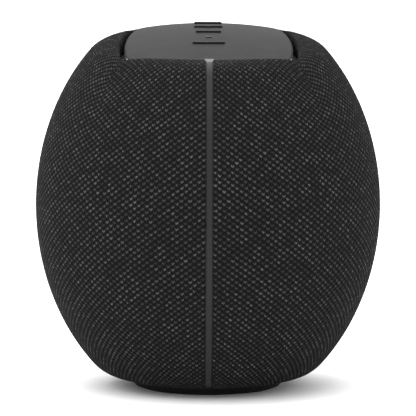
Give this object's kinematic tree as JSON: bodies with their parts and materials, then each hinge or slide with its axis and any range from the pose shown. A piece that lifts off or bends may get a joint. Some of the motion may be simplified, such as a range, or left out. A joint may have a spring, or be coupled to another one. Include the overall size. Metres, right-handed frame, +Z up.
{
  "type": "portable speaker",
  "caption": "Egg-shaped table-top speaker: knit-covered body on a round foot, control plate with bar keys in a well on top, slim seam spines, and a port panel at the back.",
  "frame": {"origin": "on the surface that the speaker stands on, under the middle of its body", "axes": "+Z up, the front seam faces -Y, the control plate's low edge is at -Y, +X to the right of someone looking at the front"},
  "size_m": [0.1816, 0.1816, 0.1881],
  "materials": {
    "knit_fabric": "matte melange knit",
    "trim_silver": "satin",
    "spine_grey": "satin",
    "plate_grey": "matte, fine grain",
    "key_black": "matte",
    "lens_black": "gloss",
    "lens_white": "gloss",
    "frame_black": "matte",
    "foot_rubber": "matte",
    "membrane_rubber": "matte",
    "board_green": "satin",
    "component_black": "matte",
    "heat_sink_aluminium": "satin",
    "cell_wrap": "gloss",
    "screw_steel": "satin",
    "magnet_grey": "matte",
    "pole_steel": "satin",
    "basket_black": "satin",
    "cone_paper": "matte",
    "surround_rubber": "matte",
    "spider_cloth": "matte",
    "coil_copper": "gloss",
    "dome_cloth": "satin",
    "radiator_steel": "satin",
    "gasket_foam": "matte",
    "lead_red": "satin",
    "ribbon_film": "gloss",
    "port_shell": "satin"
  },
  "bodies": {
    "speaker": {"fabric_left": "knit_fabric", "fabric_right": "knit_fabric", "grille_frame_left": "frame_black", "grille_frame_right": "frame_black", "front_spine": "spine_grey", "rear_spine_upper": "spine_grey", "rear_spine_lower": "spine_grey", "control_plate": "plate_grey", "trim_ring": "trim_silver", "status_lens": "lens_black", "top_chassis": "frame_black", "chassis_screws": "screw_steel", "key_board": "board_green", "key_membrane": "membrane_rubber", "key_ribbon": "ribbon_film", "base_bowl": "frame_black", "base_plate": "frame_black", "base_screws": "screw_steel", "rubber_foot": "foot_rubber", "battery_cradle": "frame_black", "battery_cells": "cell_wrap", "battery_leads": "lead_red", "cabinet_body": "frame_black", "cabinet_rear_cover": "frame_black", "cabinet_gasket": "gasket_foam", "rear_cover_screws": "screw_steel", "woofer_basket": "basket_black", "woofer_top_plate": "pole_steel", "woofer_magnet": "magnet_grey", "woofer_yoke": "pole_steel", "woofer_surround": "surround_rubber", "woofer_spider": "spider_cloth", "tweeter_housing": "frame_black", "tweeter_magnet": "magnet_grey", "radiator_frame_left": "frame_black", "radiator_frame_right": "frame_black", "radiator_surround_left": "surround_rubber", "radiator_surround_right": "surround_rubber", "driver_screws": "screw_steel", "main_board": "board_green", "board_components": "component_black", "heat_sink": "heat_sink_aluminium", "board_screws": "screw_steel", "port_board": "board_green", "rear_panel": "frame_black", "usb_socket": "port_shell", "aux_jack": "component_black", "charge_lens": "lens_white"},
    "volume_up_key": {"key_volume_up": "key_black"},
    "volume_down_key": {"key_volume_down": "key_black"},
    "pairing_key": {"key_pairing": "key_black"},
    "play_key": {"key_play": "key_black"},
    "power_key": {"power_button": "key_black"},
    "woofer_diaphragm": {"woofer_cone": "cone_paper", "voice_coil": "coil_copper", "dust_cap": "cone_paper"},
    "tweeter_diaphragm": {"tweeter_dome": "dome_cloth"},
    "radiator_left": {"radiator_plate_left": "radiator_steel"},
    "radiator_right": {"radiator_plate_right": "radiator_steel"}
  },
  "joints": [
    {"name": "volume_up_press", "type": "slide", "parent": "speaker", "child": "volume_up_key", "axis": [0, 0, -1], "range_m": [0, 0.0006], "stiffness_N_per_m": 1500, "springref_m": -0.0002},
    {"name": "volume_down_press", "type": "slide", "parent": "speaker", "child": "volume_down_key", "axis": [0, 0, -1], "range_m": [0, 0.0006], "stiffness_N_per_m": 1500, "springref_m": -0.0002},
    {"name": "pairing_press", "type": "slide", "parent": "speaker", "child": "pairing_key", "axis": [0, 0, -1], "range_m": [0, 0.0006], "stiffness_N_per_m": 1500, "springref_m": -0.0002},
    {"name": "play_press", "type": "slide", "parent": "speaker", "child": "play_key", "axis": [0, 0, -1], "range_m": [0, 0.0006], "stiffness_N_per_m": 1500, "springref_m": -0.0002},
    {"name": "power_press", "type": "slide", "parent": "speaker", "child": "power_key", "axis": [0, -1, 0], "range_m": [0, 0.001], "stiffness_N_per_m": 1200, "springref_m": -0.0003},
    {"name": "woofer_stroke", "type": "slide", "parent": "speaker", "child": "woofer_diaphragm", "axis": [0, -1, 0], "range_m": [-0.003, 0.003], "stiffness_N_per_m": 1500, "deforming": ["woofer_surround", "woofer_spider"]},
    {"name": "tweeter_stroke", "type": "slide", "parent": "speaker", "child": "tweeter_diaphragm", "axis": [0, -1, 0], "range_m": [-0.0002, 0.0002], "stiffness_N_per_m": 2500},
    {"name": "radiator_left_stroke", "type": "slide", "parent": "speaker", "child": "radiator_left", "axis": [-1, 0, 0], "range_m": [-0.003, 0.003], "stiffness_N_per_m": 900, "deforming": ["radiator_surround_left"]},
    {"name": "radiator_right_stroke", "type": "slide", "parent": "speaker", "child": "radiator_right", "axis": [1, 0, 0], "range_m": [-0.003, 0.003], "stiffness_N_per_m": 900, "deforming": ["radiator_surround_right"]}
  ]
}
